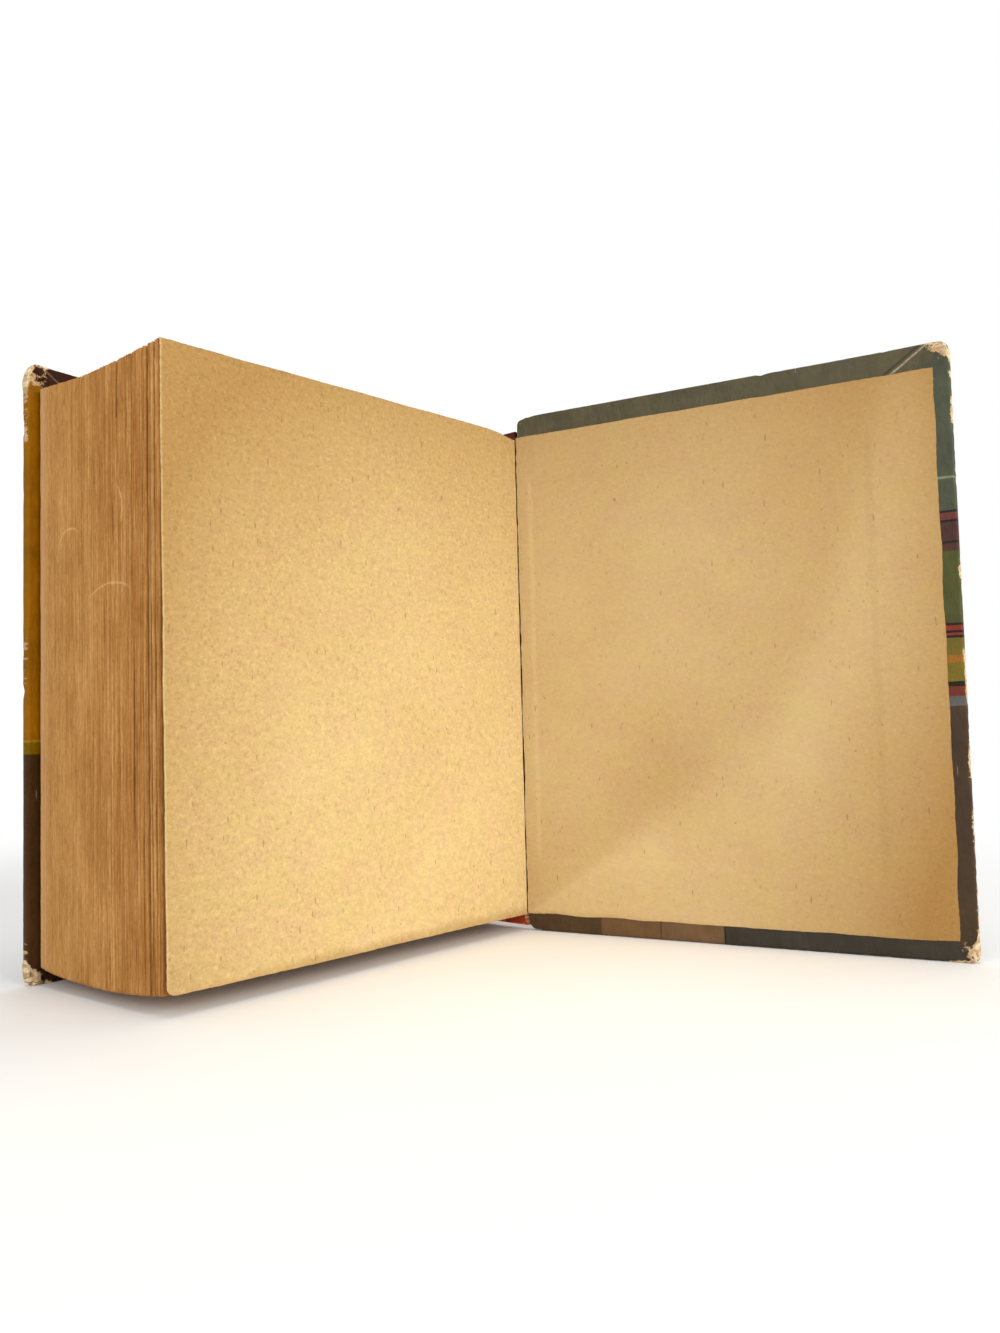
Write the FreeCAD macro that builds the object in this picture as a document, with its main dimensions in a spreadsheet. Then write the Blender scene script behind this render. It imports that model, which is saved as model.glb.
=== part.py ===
import FreeCAD, Part
import math
import os

import Sketcher
from FreeCAD import Placement, Rotation, Vector

# A thick, small storybook that stands on its tail edges, open at the back.
# Millimetres, +Z up. It is drawn from the back cover's hinge axis: the last page
# lies in the plane Y = 0 and faces -Y, its gutter is on the Z axis and its leaves
# run to -X. The block's thickness runs along +Y to the closed front cover, and
# the covers' tail edges stand on Z = 0. The finished pieces are then set down so
# that the origin is the middle of the front cover's tail edge.

SIZES = {
    # Leaves and block
    "leaf_width": 86.7,         # gutter to fore edge of the last leaf
    "leaf_height": 106.7,       # tail to head of a leaf
    "block_thick": 39.1,        # last leaf to first leaf
    "spine_lean": 2.2,          # the block is cocked: its first leaf sits this far to -X
    "fore_bulge": 1.0,          # swell of the fore edge at mid thickness
    "leaf_sag": 1.2,            # droop of the middle leaves at the fore edge
    "end_leaf": 0.35,           # the last leaf, which stands free of the next one
    "end_gap_width": 0.55,      # the gap behind the last leaf
    "end_gap_depth": 4.0,
    "leaf_gap_count": 14,       # finer gaps between the gatherings
    "leaf_gap_width": 0.16,
    "leaf_gap_depth": 0.9,
    # Boards are cut to the leaf plus these squares
    "tail_square": 3.5,
    "head_square": 4.1,
    "fore_square": 3.6,
    "board_thick": 1.9,
    "board_round": 2.8,         # blunted corners of a board
    "opening": 105.4,           # degrees from closed to the back cover as it stands
    # Sheets and their clearances
    "cover_paper": 0.2,
    "turn_in": 15.0,            # cover paper folded over a board's edges
    "endpaper": 0.15,
    "pastedown_tail": 3.8,      # bare turn-in left at a board's tail edge
    "pastedown_head": 4.2,
    "pastedown_fore": 3.0,
    "closing_gap": 0.1,         # between a shut cover and the block
    # Spine and joints
    "lining_thick": 0.5,        # gauze and paper glued on the leaves' backs
    "spine_card": 0.9,
    "spine_overhang": 0.8,      # spine beyond the block at each cover
    "spine_drop": 1.7,          # spine ends inside the boards' ends
    "joint_gap": 3.0,           # hinge axis to the edge of a board
}


class Size:
    """A length that keeps its number and its spreadsheet formula together."""

    def __init__(self, number, formula=None):
        self.number = number
        self.formula = formula or repr(number)

    def joined(self, other, sign, number):
        other = other if isinstance(other, Size) else Size(other)
        return Size(number(self.number, other.number), f"({self.formula} {sign} {other.formula})")

    def __add__(self, other):
        return self.joined(other, "+", lambda first, second: first + second)

    def __sub__(self, other):
        return self.joined(other, "-", lambda first, second: first - second)

    def __mul__(self, other):
        return self.joined(other, "*", lambda first, second: first * second)

    def __truediv__(self, other):
        return self.joined(other, "/", lambda first, second: first / second)

    def __neg__(self):
        return Size(-self.number, f"(-1 * {self.formula})")


def cosine(angle):
    return Size(math.cos(math.radians(angle.number)), f"cos({angle.formula})")


def sine(angle):
    return Size(math.sin(math.radians(angle.number)), f"sin({angle.formula})")


def fill_sheet(doc):
    """Write the driving dimensions to the spreadsheet and return them as sizes."""
    sheet = doc.addObject("Spreadsheet::Sheet", "sizes")
    for row, (name, number) in enumerate(SIZES.items(), start=1):
        sheet.set(f"A{row}", name)
        sheet.set(f"B{row}", str(number))
        sheet.setAlias(f"B{row}", name)
    doc.recompute()
    return {name: Size(number, f"sizes.{name}") for name, number in SIZES.items()}


doc = FreeCAD.newDocument("book")
size = fill_sheet(doc)
zero = Size(0.0)

# Lengths that follow from the driving ones
cover_height = size["leaf_height"] + size["tail_square"] + size["head_square"]
cover_reach = size["leaf_width"] + size["fore_square"]
turn_in_face = size["closing_gap"] + size["endpaper"]
board_face = turn_in_face + size["cover_paper"]
board_back = board_face + size["board_thick"]
cover_back = board_back + size["cover_paper"]
spine_turn_in = size["lining_thick"] + size["cover_paper"]
spine_card_back = spine_turn_in + size["spine_card"]
spine_back = spine_card_back + size["cover_paper"]
leaf_head = size["tail_square"] + size["leaf_height"]

# The hinge axes in plan, measured from the middle of the front cover's tail edge
back_hinge = (
    size["spine_lean"] + (size["joint_gap"] + cover_reach) / 2,
    -(size["block_thick"] + (turn_in_face + cover_back) / 2),
)
front_hinge = (back_hinge[0] - size["spine_lean"], back_hinge[1] + size["block_thick"])


def add_body(label):
    body = doc.addObject("PartDesign::Body", label)
    body.Label = label
    return body


def add_sketch(body, name, plane, distance=zero):
    """A sketch on one of the body's origin planes, moved along that plane's normal."""
    sketch = body.newObject("Sketcher::SketchObject", name)
    support = [origin for origin in body.Origin.OriginFeatures if origin.Role == plane][0]
    sketch.AttachmentSupport = [(support, "")]
    sketch.MapMode = "FlatFace"
    sketch.setExpression("AttachmentOffset.Base.z", distance.formula)
    return sketch


def bind_point(sketch, name, geometry, end, point):
    """Hold a sketch point at its two sizes, measured from the origin."""
    for kind, length in zip(("DistanceX", "DistanceY"), point):
        held = Sketcher.Constraint(kind, -1, 1, geometry, end, length.number)
        sketch.renameConstraint(sketch.addConstraint(held), f"{name}_{kind[-1]}")
        sketch.setExpression(f"Constraints.{name}_{kind[-1]}", length.formula)


def draw_outline(sketch, name, corners, bends=None):
    """A closed outline. A side named in bends is an arc through the point given for it."""
    bends = bends or {}
    spots = [Vector(across.number, up.number, 0) for across, up in corners]
    ends = []
    for side, start in enumerate(spots):
        finish = spots[(side + 1) % len(spots)]
        if side in bends:
            middle = Vector(bends[side][0].number, bends[side][1].number, 0)
            forward = (middle - start).cross(finish - middle).z > 0
            curve = Part.Arc(start, middle, finish) if forward else Part.Arc(finish, middle, start)
        else:
            curve = Part.LineSegment(start, finish)
            forward = True
        number = sketch.addGeometry(curve, False)
        ends.append((number, 1 if forward else 2, 2 if forward else 1))
    for side, (number, first, last) in enumerate(ends):
        following = ends[(side + 1) % len(ends)]
        sketch.addConstraint(Sketcher.Constraint("Coincident", number, last, following[0], following[1]))
        bind_point(sketch, f"{name}_{side}", number, first, corners[side])
    for side, middle in bends.items():
        point = sketch.addGeometry(Part.Point(Vector(middle[0].number, middle[1].number, 0)), True)
        sketch.addConstraint(Sketcher.Constraint("PointOnObject", point, 1, ends[side][0]))
        bind_point(sketch, f"{name}_bend_{side}", point, 1, middle)


def draw_rectangle(sketch, name, left, right, low, high, radius=None):
    """A rectangle, with its four corners rounded where a radius is given."""
    if radius is None:
        draw_outline(sketch, name, [(left, low), (right, low), (right, high), (left, high)])
        return
    tuck = radius * (1 - math.sqrt(0.5))
    corners = [
        (left + radius, low), (right - radius, low), (right, low + radius), (right, high - radius),
        (right - radius, high), (left + radius, high), (left, high - radius), (left, low + radius),
    ]
    bends = {
        1: (right - tuck, low + tuck), 3: (right - tuck, high - tuck),
        5: (left + tuck, high - tuck), 7: (left + tuck, low + tuck),
    }
    draw_outline(sketch, name, corners, bends)


def extrude(body, kind, name, sketch, length, backwards):
    """A pad or pocket of the sketch, with its length bound to a size."""
    feature = body.newObject(f"PartDesign::{kind}", name)
    feature.Profile = sketch
    feature.Reversed = backwards
    feature.setExpression("Length", length.formula)
    sketch.Visibility = False
    return feature


def set_down(body, spot):
    """Put the piece's own drawing origin at a spot on the surface."""
    body.setExpression("Placement.Base.x", spot[0].formula)
    body.setExpression("Placement.Base.y", spot[1].formula)
    return body


def spine_line(offset, along):
    """Where a layer of the cocked spine lies in plan, at a distance along the thickness."""
    return offset - size["spine_lean"] * along / size["block_thick"]


def spine_plan(inner, outer, overhang):
    """Plan outline of a layer of the spine between two offsets from the leaves' backs."""
    low = -overhang
    high = size["block_thick"] + overhang
    return [
        (spine_line(inner, low), low), (spine_line(outer, low), low),
        (spine_line(outer, high), high), (spine_line(inner, high), high),
    ]


def fore_edge(along):
    """How far the fore edge stands from the gutter, at a distance along the thickness."""
    share = along / size["block_thick"]
    lean = size["spine_lean"] * share
    swell = size["fore_bulge"] * share * (Size(1.0) - share) * 4.0
    return size["leaf_width"] + lean + swell


def make_text_block():
    """All the leaves as one solid: drooping in the middle, cocked, with gaps at the fore edge."""
    body = add_body("text_block")
    thick, sag = size["block_thick"], size["leaf_sag"]
    reach = size["leaf_width"] + size["spine_lean"] + size["fore_bulge"]
    back = add_sketch(body, "leaves_at_back", "YZ_Plane")
    draw_rectangle(back, "back", zero, thick, size["tail_square"], leaf_head)
    front = add_sketch(body, "leaves_at_fore_edge", "YZ_Plane", -reach)
    corners = [(zero, size["tail_square"]), (thick, size["tail_square"]), (thick, leaf_head), (zero, leaf_head)]
    middles = {0: (thick / 2, size["tail_square"] - sag), 2: (thick / 2, leaf_head - sag)}
    draw_outline(front, "fore", corners, middles)
    leaves = body.newObject("PartDesign::AdditiveLoft", "leaves")
    leaves.Profile = back
    leaves.Sections = [front]
    leaves.Ruled = True

    # The spine side is trimmed to the lean, the fore edge to its swell
    cut_height = cover_height * 2
    plan = add_sketch(body, "trim_plan", "XY_Plane", -cover_height / 2)
    draw_outline(plan, "spine", [(zero, zero), (Size(1.0), thick), (-size["spine_lean"], thick)])
    beyond = -(reach + 1)
    draw_outline(
        plan, "fore",
        [(-fore_edge(zero), zero), (-fore_edge(thick), thick), (beyond, thick), (beyond, zero)],
        {0: (-fore_edge(thick / 2), thick / 2)},
    )
    extrude(body, "Pocket", "trim", plan, cut_height, True)

    gaps = add_sketch(body, "gap_plan", "XY_Plane", -cover_height / 2)
    spacing = thick / (size["leaf_gap_count"] + 1)
    starts = [(size["end_leaf"], size["end_gap_width"], size["end_gap_depth"])]
    for number in range(1, int(size["leaf_gap_count"].number) + 1):
        starts.append((spacing * number, size["leaf_gap_width"], size["leaf_gap_depth"]))
    for number, (start, width, depth) in enumerate(starts):
        inner = depth - fore_edge(start)
        draw_rectangle(gaps, f"gap_{number}", beyond, inner, start, start + width)
    extrude(body, "Pocket", "leaf_gaps", gaps, cut_height, True)
    return set_down(body, back_hinge)


def make_spine_layer(label, inner, outer, overhang, low, high):
    """A flat layer of the spine, padded up from its plan."""
    body = add_body(label)
    plan = add_sketch(body, f"{label}_plan", "XY_Plane", low)
    draw_outline(plan, "plan", spine_plan(inner, outer, overhang))
    extrude(body, "Pad", f"{label}_layer", plan, high - low, False)
    return set_down(body, back_hinge)


def make_spine_paper():
    """Cover paper over the spine card, turned in at head and tail."""
    low, high = size["spine_drop"], cover_height - size["spine_drop"]
    paper, overhang = size["cover_paper"], size["spine_overhang"]
    body = make_spine_layer("spine_paper", size["lining_thick"], spine_back, overhang, low, high)
    card_plan = add_sketch(body, "card_plan", "XY_Plane", low + paper)
    draw_outline(card_plan, "card", spine_plan(spine_turn_in, spine_card_back, overhang))
    extrude(body, "Pocket", "card_space", card_plan, high - low - paper * 2, True)
    window_plan = add_sketch(body, "window_plan", "XY_Plane", low + size["turn_in"])
    draw_outline(window_plan, "window", spine_plan(size["lining_thick"], spine_turn_in, overhang))
    extrude(body, "Pocket", "turn_in_window", window_plan, high - low - size["turn_in"] * 2, True)
    return body


class Cover:
    """One cover, drawn from its hinge axis along its own +X, then set at its hinge."""

    def __init__(self, name, outward, angle, hinge, row_hinge):
        self.name = name
        self.outward = outward      # 1 where its outside faces its own +Y, -1 where -Y
        self.angle = angle
        self.hinge = hinge          # from the back hinge, as the block is drawn
        self.row_hinge = row_hinge  # from the part's origin

    def sketch(self, body, name, depth):
        """A sketch in a plane of the cover, at a depth from its inner side."""
        return add_sketch(body, name, "XZ_Plane", depth * -self.outward)

    def extrude(self, body, kind, name, sketch, length):
        """A pad or pocket from the sketch towards the outside of the cover."""
        towards_y = self.outward > 0
        return extrude(body, kind, name, sketch, length, towards_y if kind == "Pad" else not towards_y)

    def place(self, body):
        body.Placement = Placement(Vector(), Rotation(Vector(0, 0, 1), self.angle.number))
        body.setExpression("Placement.Rotation.Angle", self.angle.formula)
        return set_down(body, self.row_hinge)

    def spot(self, along, depth):
        """A point of the cover in plan, at a distance from the hinge and a depth outward."""
        across = depth * self.outward
        turn, rise = cosine(self.angle), sine(self.angle)
        return (
            self.hinge[0] + along * turn - across * rise,
            self.hinge[1] + along * rise + across * turn,
        )

    def make_board(self):
        paper = size["cover_paper"]
        body = add_body(f"{self.name}_board")
        face = self.sketch(body, f"{self.name}_board_face", board_face)
        draw_rectangle(face, "board", size["joint_gap"], cover_reach - paper, paper, cover_height - paper,
                       size["board_round"])
        self.extrude(body, "Pad", f"{self.name}_greyboard", face, size["board_thick"])
        return self.place(body)

    def make_cover_paper(self):
        """Printed paper round the board: outside, over three edges and turned in."""
        paper, turned = size["cover_paper"], size["turn_in"]
        body = add_body(f"{self.name}_cover_paper")
        skin = self.sketch(body, f"{self.name}_skin", turn_in_face)
        draw_rectangle(skin, "skin", size["joint_gap"], cover_reach, zero, cover_height,
                       size["board_round"] + paper)
        self.extrude(body, "Pad", f"{self.name}_wrap", skin, cover_back - turn_in_face)
        space = self.sketch(body, f"{self.name}_space", board_face)
        draw_rectangle(space, "space", size["joint_gap"], cover_reach - paper, paper, cover_height - paper,
                       size["board_round"])
        self.extrude(body, "Pocket", f"{self.name}_board_space", space, size["board_thick"])
        window = self.sketch(body, f"{self.name}_window", turn_in_face)
        draw_rectangle(window, "window", size["joint_gap"], cover_reach - turned, turned,
                       cover_height - turned)
        self.extrude(body, "Pocket", f"{self.name}_bare_board", window, paper)
        return self.place(body)

    def make_pastedown(self):
        """Endpaper glued on the cover: it lies on the turn-ins and steps down to the board."""
        paper, sheet, turned = size["cover_paper"], size["endpaper"], size["turn_in"]
        body = add_body(f"{self.name}_pastedown")
        flat = self.sketch(body, f"{self.name}_sheet_face", size["closing_gap"])
        draw_rectangle(flat, "sheet", size["joint_gap"], cover_reach - size["pastedown_fore"],
                       size["pastedown_tail"], cover_height - size["pastedown_head"])
        self.extrude(body, "Pad", f"{self.name}_sheet", flat, sheet)
        step = self.sketch(body, f"{self.name}_step_face", turn_in_face)
        draw_rectangle(step, "step", size["joint_gap"], cover_reach - turned, turned, cover_height - turned)
        self.extrude(body, "Pad", f"{self.name}_step", step, paper)
        press = self.sketch(body, f"{self.name}_press_face", size["closing_gap"])
        draw_rectangle(press, "press", size["joint_gap"], cover_reach - turned - sheet, turned + sheet,
                       cover_height - turned - sheet)
        self.extrude(body, "Pocket", f"{self.name}_press", press, paper)
        return self.place(body)

    def make_joint_paper(self, edge):
        """Cover paper across the joint, from the spine's edge to the board's edge."""
        body = add_body(f"{self.name}_joint")
        paper = size["cover_paper"]
        spine_inner, spine_outer = [(spine_line(layer, edge), edge) for layer in (spine_card_back, spine_back)]
        board_inner = self.spot(size["joint_gap"], cover_back - paper)
        board_outer = self.spot(size["joint_gap"], cover_back)
        plan = add_sketch(body, f"{self.name}_joint_plan", "XY_Plane", size["spine_drop"])
        draw_outline(plan, "joint", [spine_inner, spine_outer, board_outer, board_inner])
        length = cover_height - size["spine_drop"] * 2
        extrude(body, "Pad", f"{self.name}_joint_paper", plan, length, False)
        return set_down(body, back_hinge)

    def make_hinge_lining(self, edge):
        """Gauze and endpaper folded in the gutter, from the leaves' backs to the pastedown."""
        body = add_body(f"{self.name}_hinge_lining")
        sheet, closing = size["endpaper"], size["closing_gap"]
        plan = add_sketch(body, f"{self.name}_hinge_plan", "XY_Plane", size["pastedown_tail"])
        corners = [
            (spine_line(zero, edge), edge), self.spot(size["joint_gap"], closing),
            self.spot(size["joint_gap"], closing + sheet), (spine_line(sheet, edge), edge),
        ]
        draw_outline(plan, "hinge", corners)
        length = cover_height - size["pastedown_tail"] - size["pastedown_head"]
        extrude(body, "Pad", f"{self.name}_hinge_fold", plan, length, False)
        return set_down(body, back_hinge)


def check_document(bodies):
    """Stop before anything is written if an object failed or a piece isn't one good solid."""
    for item in doc.Objects:
        if "Invalid" in item.State or "Error" in item.State:
            raise RuntimeError(f"{item.Name} failed: {item.State}")
    for body in bodies:
        shape = body.Shape
        if shape.isNull() or not shape.isValid() or len(shape.Solids) != 1:
            raise RuntimeError(f"{body.Label} is not one valid solid")


thick = size["block_thick"]
back = Cover("back", 1, size["opening"] - 180, (zero, zero), back_hinge)
front = Cover("front", -1, Size(180.0), (-size["spine_lean"], thick), front_hinge)
bodies = [
    make_text_block(),
    make_spine_layer("spine_lining", zero, size["lining_thick"], zero, size["tail_square"], leaf_head),
    make_spine_layer("spine_strip", spine_turn_in, spine_card_back, size["spine_overhang"],
                     size["spine_drop"] + size["cover_paper"],
                     cover_height - size["spine_drop"] - size["cover_paper"]),
    make_spine_paper(),
]
for cover, edge, lining_edge in (
    (back, -size["spine_overhang"], zero),
    (front, thick + size["spine_overhang"], thick),
):
    bodies += [
        cover.make_board(), cover.make_cover_paper(), cover.make_pastedown(),
        cover.make_joint_paper(edge), cover.make_hinge_lining(lining_edge),
    ]

doc.recompute()
check_document(bodies)
os.makedirs("parts", exist_ok=True)
for body in bodies:
    body.Shape.exportStep(f"parts/{body.Label}.step")
    print(f"{body.Label}: {body.Shape.Volume:.0f} mm3")
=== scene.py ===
import math

import bpy
import numpy as np
from mathutils import Matrix


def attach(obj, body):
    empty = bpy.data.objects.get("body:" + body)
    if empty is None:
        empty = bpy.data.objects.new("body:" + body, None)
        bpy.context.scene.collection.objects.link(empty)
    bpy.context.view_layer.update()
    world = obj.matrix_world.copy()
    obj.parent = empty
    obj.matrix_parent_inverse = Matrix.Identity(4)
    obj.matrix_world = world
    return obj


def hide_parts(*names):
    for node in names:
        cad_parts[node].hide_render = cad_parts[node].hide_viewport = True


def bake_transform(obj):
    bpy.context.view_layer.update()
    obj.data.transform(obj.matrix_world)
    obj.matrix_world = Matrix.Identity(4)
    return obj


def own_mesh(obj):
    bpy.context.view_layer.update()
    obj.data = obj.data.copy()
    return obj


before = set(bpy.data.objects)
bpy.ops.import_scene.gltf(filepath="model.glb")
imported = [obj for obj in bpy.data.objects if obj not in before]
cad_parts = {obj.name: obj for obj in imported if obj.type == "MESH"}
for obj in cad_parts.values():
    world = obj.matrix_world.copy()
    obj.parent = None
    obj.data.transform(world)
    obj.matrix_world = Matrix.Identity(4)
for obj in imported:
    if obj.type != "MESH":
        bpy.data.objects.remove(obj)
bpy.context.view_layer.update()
print("frame loaded")

# Sizes shared by the pieces, in mm, measured from the back hinge as the block is drawn
book = {
    "hingeSpot": (48.85, -40.5),  # where the back hinge stands in the row frame
    "leafWidth": 86.7,
    "blockThick": 39.1,
    "leafTail": 3.5,
    "leafHead": 110.2,
    "lean": 2.2,  # how far the front hinge stands behind the back one
    "swell": 1.0,  # belly of the fore edge
    "droop": 1.2,  # how far the middle leaves hang down at the fore edge
    "jointGap": 3.0,
    "reach": 90.3,  # from a hinge to its cover's fore edge
    "height": 114.3,
    "turnIn": 15.0,
    "headRound": 16.0,  # radius of the covers' rounding at the hinge end of the head, and where it starts
    "headFrom": 6.0,
    "headDip": 1.1,  # how far the leaves' head edge comes down at the gutter
}
coverSides = {
    "back": {"hinge": (0.0, 0.0), "angle": math.radians(-74.6), "outward": 1},
    "front": {"hinge": (-book["lean"], book["blockThick"]), "angle": math.pi, "outward": -1},
}


def toLinear(colour):
    # sRGB hex to the linear values Blender works in
    parts = np.array([int(colour[i:i + 2], 16) for i in (1, 3, 5)]) / 255
    linear = np.where(parts <= 0.04045, parts / 12.92, ((parts + 0.055) / 1.055) ** 2.4)
    return (*linear, 1.0)


def smooth(low, high, value):
    # 0 below low, 1 above high, an S curve between
    share = np.clip((value - low) / (high - low), 0, 1)
    return share * share * (3 - 2 * share)


def ripple(places, size, seed, count=18):
    # Sum of plane waves in random directions with lengths near size, roughly -1 to 1
    draw = np.random.default_rng(seed)
    aims = draw.normal(size=(count, places.shape[1]))
    aims *= (2 * np.pi / size * draw.uniform(0.6, 1.5, count) / np.linalg.norm(aims, axis=1))[:, None]
    return np.cos(places @ aims.T + draw.uniform(0, 2 * np.pi, count)).sum(1) * 0.85 / math.sqrt(count)


def denseEnds(count, pull=0.85):
    # 0 to 1 in uneven steps, closest together at both ends
    even = np.linspace(0, 1, count)
    return even - pull * np.sin(2 * np.pi * even) / (2 * np.pi)


def coverPoints(side, along, depth, rise):
    # Cover frame to the hinge frame: along from the hinge, depth outward from the inner plane
    cover = coverSides[side]
    turn, lift = math.cos(cover["angle"]), math.sin(cover["angle"])
    across = depth * cover["outward"]
    return np.stack([
        cover["hinge"][0] + along * turn - across * lift,
        cover["hinge"][1] + along * lift + across * turn,
        rise + 0 * along,
    ], axis=-1)


def headDrop(along):
    # how far the head edge of a cover comes down near the hinge, along a circle
    far = np.clip(book["headFrom"] - along, 0, book["headFrom"])
    return book["headRound"] - np.sqrt(book["headRound"] ** 2 - far ** 2)


def boxSkin(counts):
    # Lattice places on the outside of a box, and the quads that join them
    number = np.full(counts, -1)
    skin = np.ones(counts, bool)
    skin[1:-1, 1:-1, 1:-1] = False
    places = np.argwhere(skin)
    number[skin] = np.arange(len(places))
    quads = []
    for axis in range(3):
        for end in (0, -1):
            sheet = np.take(number, end, axis=axis)
            ring = [sheet[:-1, :-1], sheet[1:, :-1], sheet[1:, 1:], sheet[:-1, 1:]]
            if (end == 0) != (axis == 1):
                ring.reverse()
            quads.append(np.stack(ring, axis=-1).reshape(-1, 4))
    return places, np.concatenate(quads)


def makePiece(name, points, quads, material, layers=None, sheet=None, sharp=40):
    # Points in the hinge frame, mm. layers are values per vertex, sheet the two UV values per vertex
    first, second, third, fourth = (points[quads[:, corner]] for corner in range(4))
    volume = np.sum(first * np.cross(second, third)) + np.sum(first * np.cross(third, fourth))
    if volume < 0:
        quads = quads[:, ::-1]
    placed = (points + [book["hingeSpot"][0], book["hingeSpot"][1], 0]) / 1000
    placed[:, 2] = np.maximum(placed[:, 2], 0)  # nothing sags below the table
    mesh = bpy.data.meshes.new(name)
    mesh.from_pydata(placed.tolist(), [], quads.tolist())
    for key, values in (layers or {}).items():
        kind, slotName = ("FLOAT_VECTOR", "vector") if values.ndim == 2 else ("FLOAT", "value")
        layer = mesh.attributes.new(key, kind, "POINT")
        layer.data.foreach_set(slotName, values.astype(np.float32).ravel())
    if sheet is not None:
        layer = mesh.uv_layers.new(name="sheet")
        layer.data.foreach_set("uv", sheet[quads.ravel()].astype(np.float32).ravel())
    mesh.polygons.foreach_set("use_smooth", np.ones(len(quads), bool))
    mesh.set_sharp_from_angle(angle=math.radians(sharp))
    mesh.materials.append(material)
    mesh.update()
    piece = bpy.data.objects.new(name, mesh)
    bpy.context.scene.collection.objects.link(piece)
    return piece


def startMaterial(name, roughness, specular=0.5):
    material = bpy.data.materials.new(name)
    material.use_nodes = True
    surface = material.node_tree.nodes["Principled BSDF"]
    surface.inputs["Roughness"].default_value = roughness
    surface.inputs["Specular IOR Level"].default_value = specular
    return material, material.node_tree, surface


def addNode(tree, kind, inputs=None, output=0, **settings):
    # Adds a node with its settings, fills or links its inputs, and gives back one output
    node = tree.nodes.new(kind)
    for key, value in settings.items():
        setattr(node, key, value)
    for key, value in (inputs or {}).items():
        if isinstance(value, bpy.types.NodeSocket):
            tree.links.new(value, node.inputs[key])
        else:
            node.inputs[key].default_value = value
    return node.outputs[output]


def addRamp(tree, factor, stops, interpolation="LINEAR"):
    # A colour ramp from (place, hex colour) pairs
    colour = addNode(tree, "ShaderNodeValToRGB", {0: factor})
    ramp = colour.node.color_ramp
    ramp.interpolation = interpolation
    while len(ramp.elements) < len(stops):
        ramp.elements.new(1.0)
    for element, (place, value) in zip(ramp.elements, sorted(stops)):
        element.position = place
    for element, (place, value) in zip(ramp.elements, sorted(stops)):
        element.color = toLinear(value)
    return colour


def mixColour(tree, factor, first, second, blend="MIX"):
    inputs = {0: factor, 6: first, 7: second}
    return addNode(tree, "ShaderNodeMix", inputs, 2, data_type="RGBA", blend_type=blend)


def tinted(tree, strength, tint, value, stops):
    # The tint multiplied by a ramp of a value
    return mixColour(tree, strength, tint, addRamp(tree, value, stops), "MULTIPLY")


def addMath(tree, operation, first, second=0.0, clamp=False):
    return addNode(tree, "ShaderNodeMath", {0: first, 1: second}, operation=operation, use_clamp=clamp)


def ramped(tree, value, low, high, start=0.0, finish=1.0):
    # Map Range, smooth, held at both ends
    return addNode(tree, "ShaderNodeMapRange", {0: value, 1: low, 2: high, 3: start, 4: finish},
                   interpolation_type="SMOOTHSTEP")


def stretched(tree, place, scale, turn=0.0):
    return addNode(tree, "ShaderNodeMapping", {"Vector": place, "Scale": scale, "Rotation": (0, 0, turn)})


def noiseAt(tree, place, size, detail=3.0, roughness=0.55, distortion=0.0):
    # Noise with features near size, in the units of place
    return addNode(tree, "ShaderNodeTexNoise", {
        "Vector": place, "Scale": 1 / size, "Detail": detail,
        "Roughness": roughness, "Distortion": distortion,
    })


def distanceTo(tree, place, spot):
    return addNode(tree, "ShaderNodeVectorMath", {0: place, 1: spot}, 1, operation="DISTANCE")


def specksAt(tree, place, cell, spread, share):
    # 1 inside small dots, one to a Voronoi cell, in a share of the cells; spread is the dot's radius
    cells = addNode(tree, "ShaderNodeTexVoronoi", {"Vector": place, "Scale": 1 / cell, "Randomness": 1.0})
    dots = ramped(tree, cells, spread / cell * 0.6, spread / cell, 1.0, 0.0)
    pick = addNode(tree, "ShaderNodeSeparateColor", {0: cells.node.outputs["Color"]})
    return addMath(tree, "MULTIPLY", dots, addMath(tree, "LESS_THAN", pick, share))


# Pulp paper: cheap yellowed wood pulp, browner at its open edges, with specks and short fibres
pulpLook = {
    "light": "#e9d6a6",
    "dark": "#dec796",
    "toned": "#a07c47",
    "speck": "#75603e",
    "fleck": "#ffe9bd",
    "tonedReach": 3.0,
}


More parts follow.
